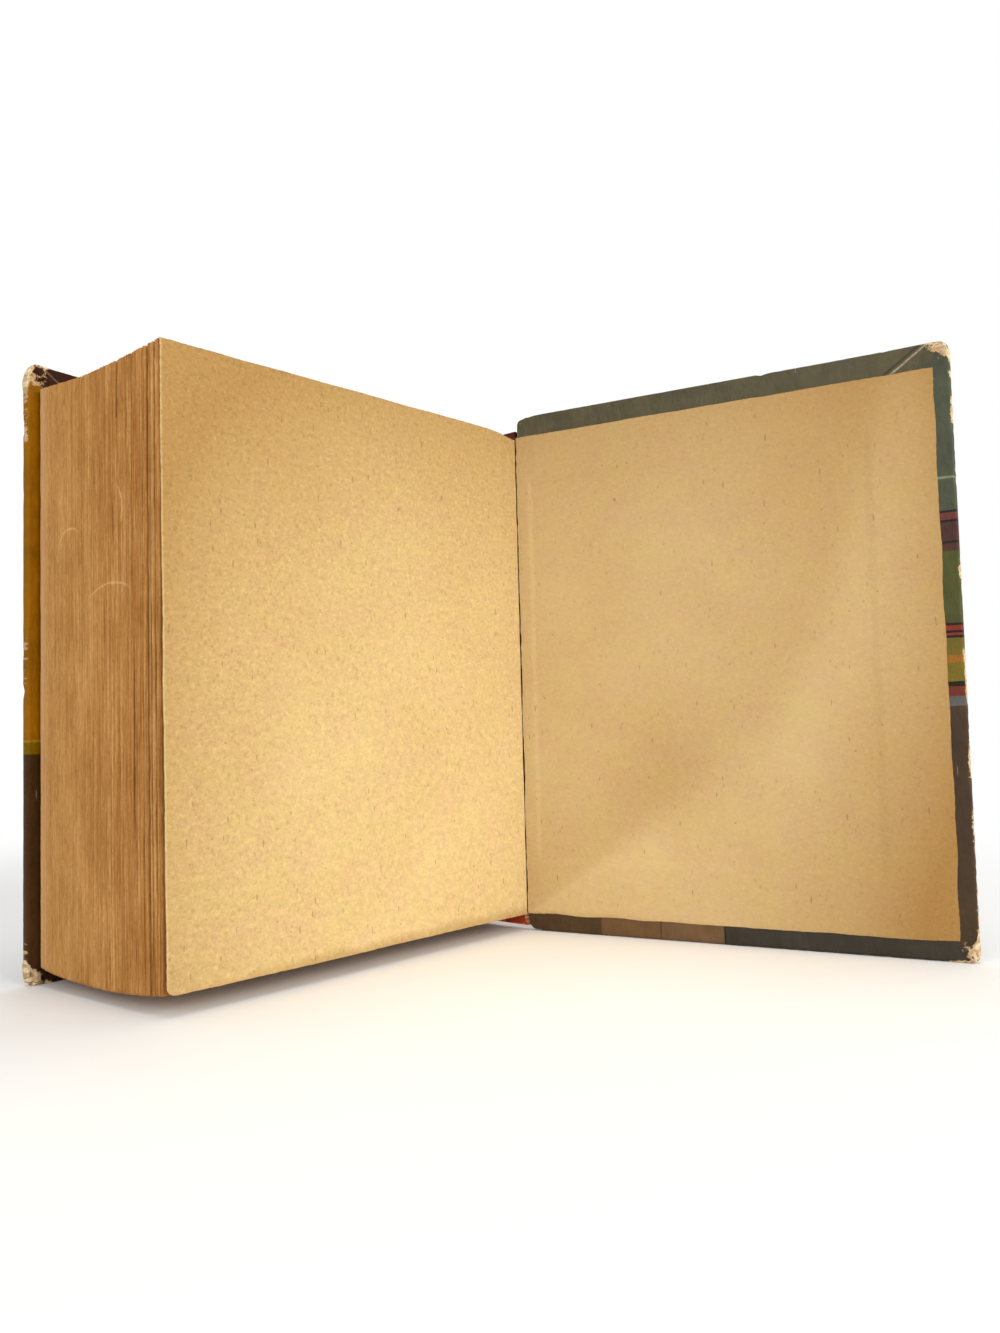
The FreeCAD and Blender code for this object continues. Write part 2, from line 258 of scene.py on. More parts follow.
def makePulpPaper(name, light, dark, toned, busy):
    material, tree, surface = startMaterial(name, 0.9, 0.15)
    place = addNode(tree, "ShaderNodeUVMap", uv_map="sheet")
    edge = addNode(tree, "ShaderNodeAttribute", output=2, attribute_name="edge")
    cloud = noiseAt(tree, place, 26, 4, 0.5)
    tint = addRamp(tree, cloud, [(0.25, dark), (0.75, light)])
    # patches a little pinker or greener, then the mottle and grain of the pulp
    patch = noiseAt(tree, place, 7, 3, 0.6)
    tint = tinted(tree, 0.7, tint, patch, [(0.35, "#fffae0"), (0.65, "#fff0ec")])
    mottle = noiseAt(tree, place, 1.6, 3, 0.65)
    tint = tinted(tree, 0.42 * busy, tint, mottle, [(0.3, "#c9c1b0"), (0.7, "#fffaf0")])
    grain = noiseAt(tree, place, 0.45, 2, 0.6)
    tint = tinted(tree, 0.2 * busy, tint, grain, [(0.35, "#c0b7a8"), (0.65, "#ffffff")])
    # browner where air and light reach it; the tone attribute adds toning together with painted light and
    # shade
    wander = addMath(tree, "MULTIPLY_ADD", noiseAt(tree, place, 9, 4, 0.65), 4.5)
    wander.node.inputs[2].default_value = -2.2
    band = ramped(tree, addMath(tree, "ADD", edge, wander), 0.0, pulpLook["tonedReach"], 0.6, 0.0)
    toneWithPaintedLight = addNode(tree, "ShaderNodeAttribute", output=2, attribute_name="toneWithPaintedLight")
    tint = mixColour(tree, addMath(tree, "MAXIMUM", band, toneWithPaintedLight), tint, toLinear(toned))
    # crumbly light and dark flecks, from the two ends of one noise
    crumbs = noiseAt(tree, place, 0.75, 3, 0.7, 0.5)
    plain = addMath(tree, "ADD", addMath(tree, "MULTIPLY", toneWithPaintedLight, 0.9), 0.6)
    pale = addMath(tree, "MULTIPLY", ramped(tree, crumbs, 0.53, 0.66, 0.0, busy), plain)
    tint = mixColour(tree, pale, tint, (1.15, 1.14, 1.11, 1), "MULTIPLY")
    dim = addMath(tree, "MULTIPLY", ramped(tree, crumbs, 0.46, 0.34, 0.0, busy), plain)
    tint = mixColour(tree, dim, tint, (0.84, 0.84, 0.82, 1), "MULTIPLY")
    # specks and short fibres lying every way, dark and pale:
    # cell, radius, share, stretch, turn, strength, colour
    marks = [
        (2.6, 0.26, 0.35, 1.0, 0.0, 0.45, "speck"), (1.2, 0.34, 0.4, 0.6, 0.4, 0.17, "speck"),
        (1.8, 0.2, 0.36, 0.24, 0.7, 0.5, "speck"), (1.7, 0.2, 0.34, 0.3, -0.8, 0.42, "speck"),
        (2.1, 0.18, 0.4, 0.2, 1.7, 0.5, "speck"), (8.5, 0.36, 0.5, 0.7, 0.2, 0.55, "speck"),
        (3.1, 0.22, 0.4, 0.3, 1.2, 0.12, "fleck"),
    ]
    for index, (cell, spread, share, squeeze, turn, strength, colour) in enumerate(marks):
        shifted = addNode(tree, "ShaderNodeVectorMath", {0: place, 1: (index * 31.7, index * 17.3, 0)})
        dots = specksAt(tree, stretched(tree, shifted, (1, squeeze, 1), turn), cell, spread, share * busy)
        tint = mixColour(tree, addMath(tree, "MULTIPLY", dots, strength), tint, toLinear(pulpLook[colour]))
    tree.links.new(tint, surface.inputs["Base Color"])
    felt = addMath(tree, "ADD", noiseAt(tree, place, 0.8, 4, 0.7), addMath(tree, "MULTIPLY", mottle, 1.5))
    bump = addNode(tree, "ShaderNodeBump", {"Strength": 0.35, "Distance": 0.00012, "Height": felt})
    tree.links.new(bump, surface.inputs["Normal"])
    return material


pulpPaper = makePulpPaper("pulp paper", pulpLook["light"], pulpLook["dark"], pulpLook["toned"], 1.0)

# Endpaper: the same kind of sheet, darker and calmer
endpaperLook = {"light": "#d7c397", "dark": "#cdb485", "toned": "#a27b46", "busy": 0.45}
endpaper = makePulpPaper("endpaper", **endpaperLook)

# Leaf edges: the same pulp seen edge on, so fine lines run with the leaves
leafEdgeLook = {
    # apartShade is painted shade between leaves
    "ground": "#c69559", "shade": "#9d6b30", "light": "#dcb276", "apartShade": "#6b3c16", "rubbed": "#cc9f70",
    # gap is painted shade inside the cut gaps
    "gap": "#75441b",
    "calm": "#c3965b", "scuff": "#dfb780",
    # each scuff is an arc: its middle, circle centre, radius and half length, mm in depth and height
    "scuffs": [
        (28.0, 82, 27.0, 78, 4.1, 4.5), (10.5, 84.5, 16.0, 83.5, 5.5, 4.0), (15.0, 71, 14.0, 58, 13.0, 7.5),
    ],
}


def makeLeafEdges():
    material, tree, surface = startMaterial("cut leaf edges", 0.92, 0.1)
    place = addNode(tree, "ShaderNodeAttribute", output=1, attribute_name="leafPlace")
    fine = noiseAt(tree, stretched(tree, place, (0.006, 1, 0.012)), 0.3, 3, 0.75)
    group = noiseAt(tree, stretched(tree, place, (0.008, 1, 0.012)), 1.8, 3, 0.6)
    depth = addNode(tree, "ShaderNodeSeparateXYZ", {0: place}, 1)
    tint = addRamp(tree, fine, [
        (0.3, leafEdgeLook["shade"]), (0.5, leafEdgeLook["ground"]), (0.72, leafEdgeLook["light"]),
    ])
    # painted shade: darker lines where two leaves stand apart, fading in and out along their height
    apartShade = noiseAt(tree, stretched(tree, place, (0.004, 1, 0.004)), 0.55, 2, 0.6)
    fade = ramped(tree, noiseAt(tree, stretched(tree, place, (0.1, 0.6, 0.11)), 1.6, 3), 0.42, 0.6)
    nearLast = ramped(tree, depth, 3.0, 14.0, 0.9, 0.5)
    fade = addMath(tree, "MAXIMUM", fade, ramped(tree, depth, 4.5, 7.0, 0.9, 0.0))
    fade = addMath(tree, "MULTIPLY", fade, nearLast)
    apartShade = addMath(tree, "MULTIPLY", ramped(tree, apartShade, 0.6, 0.68), fade)
    tint = mixColour(tree, apartShade, tint, toLinear(leafEdgeLook["apartShade"]))
    tint = tinted(tree, 0.6, tint, group, [(0.3, "#dcc09a"), (0.6, "#ffffff")])
    # towards the first leaves the lines are rubbed almost even
    calm = addMath(tree, "ADD", depth, addMath(tree, "MULTIPLY", group, 8.0))
    calm = ramped(tree, calm, 16.0, 34.0, 0.0, 0.5)
    tint = mixColour(tree, calm, tint, toLinear(leafEdgeLook["calm"]))
    grain = noiseAt(tree, stretched(tree, place, (0.6, 1, 0.4)), 0.5, 3, 0.7)
    tint = tinted(tree, 0.5, tint, grain, [(0.3, "#c8ab84"), (0.66, "#fffdf6")])
    blotch = noiseAt(tree, stretched(tree, place, (1, 1, 0.5)), 6, 4, 0.65)
    tint = tinted(tree, 0.5, tint, blotch, [(0.35, "#ccb48c"), (0.66, "#ffffff")])
    # scuffs cut across the leaves
    for turn, shift in ((0.5, 5.0), (-0.35, 23.0)):
        swung = addNode(tree, "ShaderNodeMapping", {
            "Vector": place, "Location": (0, shift, shift), "Rotation": (turn, 0, 0), "Scale": (0.3, 1, 0.09),
        })
        marks = specksAt(tree, swung, 3.4, 0.1, 0.3)
        tint = mixColour(tree, addMath(tree, "MULTIPLY", marks, 0.35), tint, toLinear(leafEdgeLook["light"]))
    flat = stretched(tree, place, (0, 1, 1))
    for nearY, nearZ, middleY, middleZ, radius, half in leafEdgeLook["scuffs"]:
        ring = distanceTo(tree, flat, (0, middleY, middleZ))
        away = distanceTo(tree, flat, (0, nearY, nearZ))
        ring = addMath(tree, "SUBTRACT", ring, radius)
        ring = addMath(tree, "ADD", ring, addMath(tree, "MULTIPLY", grain, 0.6))
        ring = addMath(tree, "ABSOLUTE", addMath(tree, "SUBTRACT", ring, 0.3))
        ring = ramped(tree, ring, 0.05, 0.3, 0.7, 0.0)
        ring = addMath(tree, "MULTIPLY", ring, ramped(tree, away, half * 0.6, half, 1.0, 0.0))
        tint = mixColour(tree, addMath(tree, "MULTIPLY", ring, blotch), tint, toLinear(leafEdgeLook["scuff"]))
    rubbed = ramped(tree, depth, 33.5, 39.0, 0.0, 0.7)
    tint = mixColour(tree, rubbed, tint, toLinear(leafEdgeLook["rubbed"]))
    # painted shade inside the cut gaps, darker the deeper the gap
    shadeInGapMask = addNode(tree, "ShaderNodeAttribute", output=2, attribute_name="deep")
    tint = mixColour(tree, ramped(tree, shadeInGapMask, 0.02, 0.5, 0.0, 0.95), tint, toLinear(leafEdgeLook["gap"]))
    tree.links.new(tint, surface.inputs["Base Color"])
    bump = addNode(tree, "ShaderNodeBump", {"Strength": 0.6, "Distance": 0.0002, "Height": fine})
    tree.links.new(bump, surface.inputs["Normal"])
    return material


leafEdges = makeLeafEdges()

# The block: lattice of share of the width, thickness and height. Each clump of leaves has a notch
# and two ridge lines, and each line is set in from the three cut edges by its own amount
block = {
    "from": 0.4,
    "to": 38.7,
    "clumps": 150,
    "uneven": 0.16,
    "notch": 0.13,
    "wander": 0.08,
    "spread": 1.1,  # the first leaves stand out a little further
    "seed": 11,
    # distance along the thickness, depth, lowest and highest z
    "gaps": [
        (0.9, 0.5, -5, 50), (1.7, 1.0, 20, 120), (3.6, 2.4, -5, 120), (4.7, 1.2, -5, 120),
        (2.6, 0.6, 8, 66), (5.4, 0.6, 60, 105), (7.3, 1.2, -5, 120), (7.9, 0.7, 70, 120),
        (12.2, 2.2, 101, 120), (12.2, 1.4, 92, 96), (17.9, 0.8, -5, 22), (23.4, 0.7, 60, 120),
    ],
}


def makeLeaves():
    draw = np.random.default_rng(block["seed"])
    widths = draw.uniform(0.55, 1.45, block["clumps"])
    starts = np.concatenate([[0], np.cumsum(widths)]) / widths.sum()
    sizes = np.diff(starts)
    lines = np.stack([starts[:-1], starts[:-1] + sizes * 0.25, starts[:-1] + sizes * 0.75], 1).ravel()
    lines = np.append(lines, 1.0)
    setIn = np.repeat(draw.uniform(0, block["uneven"], block["clumps"]), 3)
    setIn[0::3] += block["notch"]
    setIn = np.append(setIn, 0.0)
    endIn = np.append(np.repeat(draw.uniform(0, 0.08, block["clumps"]), 3), 0.0)
    endIn[0:-1:3] += 0.06
    acrossLines = 1 - np.linspace(1, 0, 26) ** 1.5
    upLines = denseEnds(56, 0.6)
    places, quads = boxSkin((len(acrossLines), len(lines), len(upLines)))
    out, through, up = acrossLines[places[:, 0]], lines[places[:, 1]], upLines[places[:, 2]]

    thick = block["from"] + through * (block["to"] - block["from"])
    share = thick / book["blockThick"]
    belly = 4 * share * (1 - share)
    rise = book["leafTail"] + up * (book["leafHead"] - book["leafTail"])
    rise = rise - book["headDip"] * np.exp(-(out * book["leafWidth"] / 4.5) ** 2) * up ** 20
    field = np.stack([out * 60, thick * 3, rise], 1)
    deep = np.zeros(len(places))
    clumpThick = np.append(np.repeat((starts[:-1] + starts[1:]) / 2, 3), 1.0)
    clumpThick = block["from"] + clumpThick[places[:, 1]] * (block["to"] - block["from"])
    clumpSize = (block["to"] - block["from"]) / block["clumps"]
    for middle, depth, low, high in block["gaps"]:
        within = np.abs(clumpThick - middle) < clumpSize * (1.1 if depth > 1.5 else 0.6)
        ends = smooth(low - 1, low + 2, rise) * (1 - smooth(high - 2, high + 1, rise))
        deep = np.maximum(deep, within * ends * depth)
    foreIn = setIn[places[:, 1]] * (1 - 0.65 * smooth(12, 30, thick)) + deep + 0.05 * ripple(field, 3.0, 21)
    foreIn += 0.3 * smooth(37.6, 38.8, thick) ** 2
    width = book["leafWidth"] + book["swell"] * belly + block["spread"] * smooth(20, 38, thick)
    acrossPlace = -book["lean"] * share - out * width + (out == 1) * foreIn
    rise = rise - book["droop"] * belly * out
    rise = rise + (up == 0) * endIn[places[:, 1]] - (up == 1) * endIn[places[:, 1]]
    lengthwise = np.stack([out * 30, thick * 0.4, rise], 1)
    sway = block["wander"] * ripple(lengthwise, 55, 5) * (1 + smooth(9, 3, thick))
    sway += 0.02 * ripple(np.stack([out * 30, thick, rise], 1), 9, 6)
    through = thick + sway * np.sin(np.pi * through)
    points = np.stack([acrossPlace, through, rise], 1)
    leafPlace = np.stack([out * width, thick, rise], 1)
    layers = {"leafPlace": leafPlace, "deep": deep}
    piece = makePiece("leaves", points, quads, leafEdges, layers, sharp=75)
    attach(piece, "block")
    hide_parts("text_block")


makeLeaves()
print("leaves made")

# End leaves: a thin sheet each, the last one curling out at the fore edge and dipping at the gutter
endLeaf = {"thick": 0.2, "curl": 0.85, "dip": 0.1, "ragged": 0.06, "corner": 2.2}


def makeEndLeaf(name, last):
    places, quads = boxSkin((120, 2, 130))
    out, up = denseEnds(120, 0.5)[places[:, 0]], denseEnds(130, 0.5)[places[:, 2]]
    height = book["leafHead"] - book["leafTail"]
    far = out * book["leafWidth"]
    rise = book["leafTail"] + up * height
    rise = rise - book["headDip"] * np.exp(-(far / 4.5) ** 2) * up ** 20
    edge = np.minimum(np.minimum(book["leafWidth"] - far, rise - book["leafTail"]), book["leafHead"] - rise)
    sheet = np.stack([far, rise], 1)
    ragged = endLeaf["ragged"] * (0.5 * ripple(sheet, 14, 31) + 0.7 * ripple(sheet, 1.3, 32))
    wave = 0.08 * ripple(sheet, 30, 33) + 0.025 * ripple(sheet, 7, 34)
    # blunt corner: the tail edge lifts towards the fore edge along a circle
    blunt = np.clip(1 - (book["leafWidth"] - far) / endLeaf["corner"], 0, 1)
    lowEnd = np.clip(1 - (rise - book["leafTail"]) / 6, 0, 1)
    blunt = endLeaf["corner"] * 0.5 * (1 - np.sqrt(1 - blunt ** 2)) * lowEnd
    # partly toning, partly painted shade: browner towards the head and the fore edge
    toneWithPaintedLight = 0.78 * np.exp((rise - book["leafHead"]) / 42) + 0.55 * np.exp((far - book["leafWidth"]) / 20)
    # painted highlight: on the fore cut the tone is halved and the edge value raised, so the cut shows paler
    onFore = (out == 1) * 1.0
    toneWithPaintedLight = np.minimum(toneWithPaintedLight, 0.95) * (1 - 0.5 * onFore)
    edge = edge + 2.5 * onFore  # the cut itself catches the light
    behind = places[:, 1] * endLeaf["thick"]
    if last:
        bow = -endLeaf["curl"] * smooth(0.2, 0.8, out) * (1 - up)
        bow += endLeaf["dip"] * np.exp(-((out - 0.1) / 0.09) ** 2)
        gutter = 0.06 * (1 + ripple(sheet * [0.1, 1], 8, 35)) * (out == 0)
        points = np.stack([-0.03 - gutter - far * 0.999 + ragged * (out == 1),
                           bow + wave * np.sin(np.pi * out * 0.5) + behind,
                           rise + blunt + ragged * ((up == 0) * 1.0 - (up == 1) * 1.0)], 1)
    else:
        points = np.stack([-book["lean"] - far - 0.3 * out, book["blockThick"] - 0.02 - behind, rise], 1)
    piece = makePiece(name, points, quads, pulpPaper, {"edge": edge, "toneWithPaintedLight": toneWithPaintedLight}, sheet)
    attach(piece, "block")
    if last:
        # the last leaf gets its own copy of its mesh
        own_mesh(piece)


makeEndLeaf("last_leaf", True)
makeEndLeaf("first_leaf", False)
print("end leaves made")

# Pastedowns: each lies 0.1 mm off the block when closed, sinks 0.2 mm inside the turn-ins,
# and is ragged and ridged where it was folded into the gutter
pastedown = {
    "off": 0.1, "thick": 0.14, "press": 0.2,
    "tailEdge": 3.8, "headEdge": 4.7, "foreEdge": 3.0, "frontForeEdge": 3.9,
    "gutter": 0.13, "ragged": 0.14, "ridge": 0.07, "wave": 0.05,
}


def makePastedown(side, seed):
    places, quads = boxSkin((110, 2, 130))
    out, up = denseEnds(110, 0.6)[places[:, 0]], denseEnds(130, 0.5)[places[:, 2]]
    low, high = pastedown["tailEdge"], book["height"] - pastedown["headEdge"]
    far = book["reach"] - pastedown["foreEdge" if side == "back" else "frontForeEdge"]
    rise = low + up * (high - low)
    column = np.stack([rise * 0, rise], 1)
    waver = ripple(column, 14, seed) + 0.5 * ripple(column, 3, seed + 1)
    torn = np.maximum(pastedown["gutter"] + pastedown["ragged"] * waver, 0.02)
    along = torn + out * (far - torn)
    sheet = np.stack([along, rise], 1)
    uneven = 0.1 * ripple(sheet, 11, seed + 2) + 0.04 * ripple(sheet, 1.5, seed + 3)
    edge = np.minimum(np.minimum(far - along, rise - low), high - rise)
    inside = np.minimum(np.minimum(book["reach"] - book["turnIn"] - along, rise - book["turnIn"]),
                        book["height"] - book["turnIn"] - rise)
    inside = np.minimum(inside, along - book["jointGap"])
    sink = pastedown["press"] * smooth(-0.2, 0.7, inside + uneven)
    ridges = pastedown["ridge"] * ripple(sheet * [0.25, 1], 2.2, seed + 4) * np.exp(-along / 5)
    wave = pastedown["wave"] * ripple(sheet, 16, seed + 5) * smooth(0, 4, edge) * smooth(1, 6, along)
    bump = np.maximum(sink + ridges + wave, -0.04)
    lifted = along + (uneven - 0.4 * np.exp((low - rise) / 7)) * (out == 1)
    points = coverPoints(side, lifted, pastedown["off"] + bump + places[:, 1] * pastedown["thick"],
                         rise + uneven * ((up == 0) * 1.0 - (up == 1) * 1.0))
    toneWithPaintedLight = 0.4 * np.exp((rise - high) / 18) + 0.3 * np.exp((along - far) / 9) + 0.1 * np.exp(-along / 7)
    toneWithPaintedLight += 0.5 * np.exp(-np.hypot(along - far, rise - low) / 20)
    toneWithPaintedLight += 0.2 * smooth(45, 90, along) - 0.1 * smooth(60, 0, along)
    # painted light and shade: a paler wedge with a soft edge rising from the tail of the gutter, a painted
    # shade band just above that edge, and a little darker towards the lower middle
    wedge = 3.2 + 0.66 * along + 0.06 * np.maximum(along - 50, 0) ** 2 - rise
    blur = 0.7 + 0.07 * along + 0.004 * along ** 2
    toneWithPaintedLight += (0.14 * np.exp(-((wedge + 9) / 9) ** 2 - along / 45)
             + 0.14 * smooth(12, 35, along) * smooth(60, 25, rise))
    # painted light: the paler wedge itself, with a soft edge
    paintedWedgeLight = (0.33 + 0.1 * np.exp(-along / 30)) * smooth(-blur, blur, wedge)
    paintedWedgeLight = paintedWedgeLight * np.exp(-np.maximum(wedge, 0) / 70)
    toneWithPaintedLight = np.maximum(toneWithPaintedLight + 0.25 - paintedWedgeLight, 0)
    layers = {"edge": edge + 1.5, "toneWithPaintedLight": toneWithPaintedLight}
    piece = makePiece(side + "_pastedown_sheet", points, quads, endpaper, layers, sheet)
    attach(piece, side + "_cover")
    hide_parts(side + "_pastedown")


makePastedown("back", 41)
makePastedown("front", 61)
print("pastedowns made")

# Cover paper: lithographed paper under a thin varnish, in plain bands, rubbed to pale fibre at the edges
coverLook = {
    "roughness": 0.38,
    "fibre": "#d9c7a2",
    "board": "#b39068",
    "grime": "#4a3824",
    "mitreShade": "#241c14",
    "mitreSlope": 1.43,
    "mitreStart": 3.7,
}
# Colours of the bands, each with the z in mm where it starts, or on the tail strip the place from the hinge
backPrint = {
    "bands": [
        (0, "#463625"), (46, "#5c5a5c"), (48.2, "#6c2c1e"), (50, "#1e180e"), (50.6, "#75661a"),
        (54.2, "#9a651e"), (55.6, "#72641a"), (58.5, "#1e160e"), (59, "#88321c"),
        (59.6, "#20150e"), (60.2, "#88321c"),
        (60.8, "#20150e"), (61.4, "#4b4f24"), (74.6, "#1e1a14"), (75, "#4c2f26"), (76.2, "#1e1a14"),
        (76.5, "#4c2d28"), (80.3, "#1a1512"), (80.8, "#6a352f"), (82.0, "#201d1a"), (82.4, "#4b513e"),
        (88.4, "#7c816a"), (88.7, "#4a503f"),
    ],
    "head": "#57523c",
    "tail": [
        (0, "#523d24"), (17, "#715536"), (30.2, "#5a452c"), (30.6, "#74593d"),
        (43.5, "#26221c"), (44, "#3e3830"),
    ],
    "mitreShare": 0.45,
    "specular": 0.16,
}
frontPrint = {
    "bands": [(0, "#462e15"), (41.8, "#7a5e00"), (44.2, "#a07a1c"), (44.5, "#936000")],
    "mitreShare": 0.15,
    "specular": 0.05,
    "head": "#3a1d0c",
    "tail": [(0, "#2f1c0e")],
}


def makeCoverPaper(name, bands, head, tail, mitreShare, specular):
    material, tree, surface = startMaterial(name, coverLook["roughness"], specular)
    place = addNode(tree, "ShaderNodeUVMap", uv_map="sheet")
    parts = addNode(tree, "ShaderNodeSeparateXYZ", {0: place}).node
    along, rise = parts.outputs[0], parts.outputs[1]
    shift = addMath(tree, "MULTIPLY", addMath(tree, "SUBTRACT", noiseAt(tree, place, 6, 3), 0.5), 0.7)
    height = addMath(tree, "DIVIDE", addMath(tree, "ADD", rise, shift), book["height"])
    tint = addRamp(tree, height, [(z / book["height"], c) for z, c in bands], "CONSTANT")
    # the turned-in strips along tail and head, up to the mitres
    inner = addNode(tree, "ShaderNodeAttribute", output=2, attribute_name="outside")
    inner = addMath(tree, "LESS_THAN", inner, 0.3)
    fromFore = addMath(tree, "SUBTRACT", book["reach"], along)
    fromHead = addMath(tree, "SUBTRACT", book["height"], rise)
    onTail = addMath(tree, "MULTIPLY", inner, addMath(tree, "LESS_THAN", rise, fromFore))
    onTail = addMath(tree, "MULTIPLY", onTail, addMath(tree, "LESS_THAN", rise, book["turnIn"]))
    onHead = addMath(tree, "MULTIPLY", inner, addMath(tree, "LESS_THAN", fromHead, fromFore))
    onHead = addMath(tree, "MULTIPLY", onHead, addMath(tree, "LESS_THAN", fromHead, book["turnIn"]))
    tailTint = addRamp(tree, addMath(tree, "DIVIDE", along, book["reach"]),
                       [(a / book["reach"], c) for a, c in tail], "CONSTANT")
    tint = mixColour(tree, onTail, tint, tailTint)
    tint = mixColour(tree, onHead, tint, toLinear(head))
    dull = noiseAt(tree, place, 7, 5, 0.65)
    tint = tinted(tree, 0.6, tint, dull, [(0.3, "#a89f92"), (0.7, "#fffaf0")])
    # wrinkles in the varnished paper and short pale scratches
    crease = noiseAt(tree, stretched(tree, place, (1, 0.4, 1), 0.5), 1.9, 4, 0.6, 0.4)
    for turn, cell in ((0.9, 5.0), (-0.6, 6.5), (1.8, 8.0)):
        scratch = specksAt(tree, stretched(tree, place, (1, 0.05, 1), turn), cell / 6, 0.07, 0.16)
        tint = mixColour(tree, addMath(tree, "MULTIPLY", scratch, 0.3), tint, toLinear(coverLook["fibre"]))
    wear = addNode(tree, "ShaderNodeAttribute", output=2, attribute_name="wear")
    crumbs = noiseAt(tree, place, 0.9, 4, 0.7)
    worn = addMath(tree, "ADD", wear, addMath(tree, "MULTIPLY", addMath(tree, "SUBTRACT", crumbs, 0.5), 1.3))
    worn = ramped(tree, worn, 0.48, 0.6)
    # on the turn-ins a pale line and a painted shade line beside it mark the mitre at the head
    onStrip = addMath(tree, "LESS_THAN", fromHead, book["turnIn"])
    mitre = addMath(tree, "MULTIPLY_ADD", fromHead, coverLook["mitreSlope"])
    mitre.node.inputs[2].default_value = coverLook["mitreStart"]
    mitre = addMath(tree, "SUBTRACT", mitre, fromFore)
    mitre = addMath(tree, "ADD", mitre, addMath(tree, "MULTIPLY", shift, 0.8))
    shaded = ramped(tree, addMath(tree, "ABSOLUTE", addMath(tree, "ADD", mitre, 1.4)), 0.1, 0.7, 0.6, 0.0)
    shaded = addMath(tree, "MULTIPLY", shaded, addMath(tree, "MULTIPLY", onStrip, inner))
    tint = mixColour(tree, shaded, tint, toLinear(coverLook["mitreShade"]))
    mitre = ramped(tree, addMath(tree, "ABSOLUTE", mitre), 0.08, 0.5, mitreShare, 0.0)
    worn = addMath(tree, "MAXIMUM", worn, addMath(tree, "MULTIPLY", mitre, inner))
    fibre, board = toLinear(coverLook["fibre"]), toLinear(coverLook["board"])
    bare = mixColour(tree, ramped(tree, crumbs, 0.4, 0.6), fibre, board)
    folds = addNode(tree, "ShaderNodeAttribute", output=2, attribute_name="crease")
    bare = mixColour(tree, ramped(tree, folds, 0.35, 0.9, 0.0, 0.85), bare, toLinear(coverLook["grime"]))
    tint = mixColour(tree, worn, tint, bare)
    tree.links.new(tint, surface.inputs["Base Color"])
    gloss = addMath(tree, "ADD", addMath(tree, "MULTIPLY", worn, 0.5), addMath(tree, "MULTIPLY", dull, 0.3))
    gloss = addMath(tree, "ADD", gloss, coverLook["roughness"] - 0.1, True)
    tree.links.new(gloss, surface.inputs["Roughness"])
    relief = addMath(tree, "ADD", noiseAt(tree, place, 3, 5, 0.6), addMath(tree, "MULTIPLY", crease, 2.0))
    relief = addMath(tree, "ADD", relief, addMath(tree, "MULTIPLY", worn, -0.5))
    bump = addNode(tree, "ShaderNodeBump", {"Strength": 0.5, "Distance": 0.0003, "Height": relief})
    tree.links.new(bump, surface.inputs["Normal"])
    return material


coverPapers = {
    "back": makeCoverPaper("lithographed back cover paper", **backPrint),
    "front": makeCoverPaper("lithographed front cover paper", **frontPrint),
}

# Cover slabs: a plan with rounded corners, its rim following a squarish curve through the thickness.
# Rounded corner: share u, v of the corner square goes to u*sqrt(1 - v*v/2), v*sqrt(1 - u*u/2)
slab = {
    "start": 2.05, "inner": 0.25, "outer": 2.55, "corner": 1.5, "hingeCorner": 0.9, "headCorner": 2.7,
    "tailCorner": 1.8, "rim": 0.6, "bite": 0.4, "crumple": 0.45, "crumpleReach": 6.5, "flare": 0.15,
    "reach": {"back": 90.3, "front": 89.7}, "wearShare": {"back": 0.75, "front": 0.45},
    "headSwell": {"back": 0.4, "front": 1.1},
}


